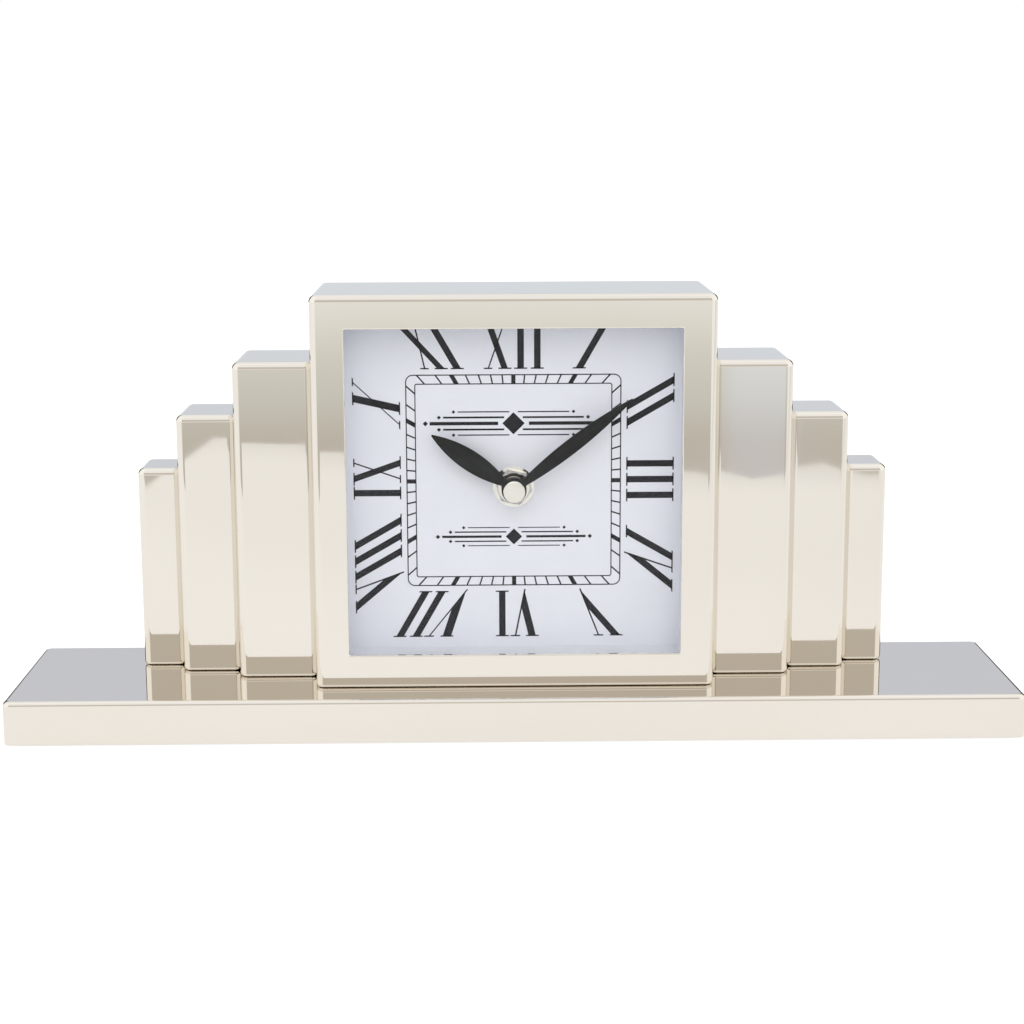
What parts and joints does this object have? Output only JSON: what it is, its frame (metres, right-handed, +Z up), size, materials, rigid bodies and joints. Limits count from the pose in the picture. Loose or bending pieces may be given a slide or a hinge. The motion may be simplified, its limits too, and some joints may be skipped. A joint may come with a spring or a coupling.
{
  "type": "mantel clock",
  "caption": "Stepped art-deco mantel clock in polished nickel: square glazed dial between three setback columns per side on a long flat base, quartz movement.",
  "frame": {"origin": "centre of the underside of the base, on the surface it stands on", "axes": "+Z up, -Y towards the viewer in front of the dial, +X to the viewer's right"},
  "size_m": [0.38, 0.081, 0.1652],
  "materials": {
    "polished_nickel": "polished",
    "zinc_steel": "satin",
    "bright_nickel": "polished",
    "felt_black": "matt felt",
    "fibreboard": "raw fibreboard",
    "clear_glass": "clear",
    "dial_silver": "satin silver-white print",
    "surround_silver": "satin",
    "cover_black": "fine texture",
    "movement_black": "moulded",
    "bushing_brass": "turned",
    "gear_white": "moulded",
    "rubber_black": "matt",
    "ferrite": "ground",
    "soft_iron": "stamped",
    "copper_winding": "enamelled wire",
    "bobbin_white": "moulded",
    "board_green": "solder mask",
    "crystal_can": "drawn can",
    "contact_steel": "sprung strip",
    "battery_label": "printed sleeve",
    "hand_black": "semi-matt lacquer"
  },
  "bodies": {
    "clock": {"base_shell": "polished_nickel", "base_plate": "fibreboard", "base_plate_screws": "zinc_steel", "base_felt": "felt_black", "case_shell": "polished_nickel", "case_screws": "zinc_steel", "column_screws": "zinc_steel", "frame_washers": "zinc_steel", "glass_pane": "clear_glass", "dial_surround": "surround_silver", "dial_plate": "dial_silver", "dial_screws": "zinc_steel", "back_cover": "cover_black", "back_cover_screws": "zinc_steel", "movement_front_shell": "movement_black", "movement_back_shell": "movement_black", "rubber_washer": "rubber_black", "dial_washer": "bright_nickel", "dial_nut": "bright_nickel", "stator": "soft_iron", "coil_core": "soft_iron", "coil_rivets": "zinc_steel", "coil_bobbin": "bobbin_white", "coil_winding": "copper_winding", "circuit_board": "board_green", "quartz_crystal": "crystal_can", "battery_contacts": "contact_steel", "left_inner_column": "polished_nickel", "left_middle_column": "polished_nickel", "left_outer_column": "polished_nickel", "right_inner_column": "polished_nickel", "right_middle_column": "polished_nickel", "right_outer_column": "polished_nickel"},
    "minute_hand": {"minute_hand": "hand_black", "hand_cap": "bright_nickel", "cannon_pinion": "bushing_brass"},
    "hour_hand": {"hour_hand": "hand_black", "hour_wheel": "gear_white"},
    "minute_work_wheel": {"minute_work_wheel": "gear_white"},
    "setting_knob": {"setting_knob": "gear_white"},
    "rotor": {"rotor_pinion": "gear_white", "rotor_magnet": "ferrite"},
    "intermediate_wheel": {"intermediate_wheel": "gear_white"},
    "seconds_wheel": {"seconds_wheel": "gear_white"},
    "third_wheel": {"third_wheel": "gear_white"},
    "centre_wheel": {"centre_wheel": "gear_white"},
    "battery": {"battery": "battery_label"}
  },
  "joints": [
    {"name": "minute_spin", "type": "hinge", "parent": "clock", "child": "minute_hand", "pos_m": [0, 0, 0.0912], "axis": [0, 1, 0], "continuous": true},
    {"name": "hour_spin", "type": "hinge", "parent": "clock", "child": "hour_hand", "pos_m": [0, 0, 0.0912], "axis": [0, 1, 0], "continuous": true},
    {"name": "minute_work_spin", "type": "hinge", "parent": "clock", "child": "minute_work_wheel", "pos_m": [0.01, 0, 0.0912], "axis": [0, 1, 0], "continuous": true},
    {"name": "knob_spin", "type": "hinge", "parent": "clock", "child": "setting_knob", "pos_m": [0.0205, 0, 0.0912], "axis": [0, 1, 0], "continuous": true},
    {"name": "rotor_spin", "type": "hinge", "parent": "clock", "child": "rotor", "pos_m": [0.00813, 0, 0.10119], "axis": [0, 1, 0], "continuous": true},
    {"name": "intermediate_spin", "type": "hinge", "parent": "clock", "child": "intermediate_wheel", "pos_m": [0.00113, 0, 0.10119], "axis": [0, 1, 0], "continuous": true},
    {"name": "seconds_spin", "type": "hinge", "parent": "clock", "child": "seconds_wheel", "pos_m": [-0.00626, 0, 0.10249], "axis": [0, 1, 0], "continuous": true},
    {"name": "third_spin", "type": "hinge", "parent": "clock", "child": "third_wheel", "pos_m": [-0.00846, 0, 0.09428], "axis": [0, 1, 0], "continuous": true},
    {"name": "centre_spin", "type": "hinge", "parent": "clock", "child": "centre_wheel", "pos_m": [0, 0, 0.0912], "axis": [0, 1, 0], "continuous": true},
    {"name": "battery_slide", "type": "slide", "parent": "clock", "child": "battery", "axis": [0, 1, 0], "range_m": [0, 0.045]}
  ],
  "couplings": [
    {"joint": "hour_spin", "follows": "minute_spin", "ratio": 0.083333},
    {"joint": "minute_work_spin", "follows": "minute_spin", "ratio": -0.33333},
    {"joint": "knob_spin", "follows": "minute_spin", "ratio": 0.83333},
    {"joint": "intermediate_spin", "follows": "rotor_spin", "ratio": -0.16667},
    {"joint": "seconds_spin", "follows": "rotor_spin", "ratio": 0.033333},
    {"joint": "third_spin", "follows": "rotor_spin", "ratio": -0.0044444},
    {"joint": "centre_spin", "follows": "rotor_spin", "ratio": 0.00055556}
  ]
}
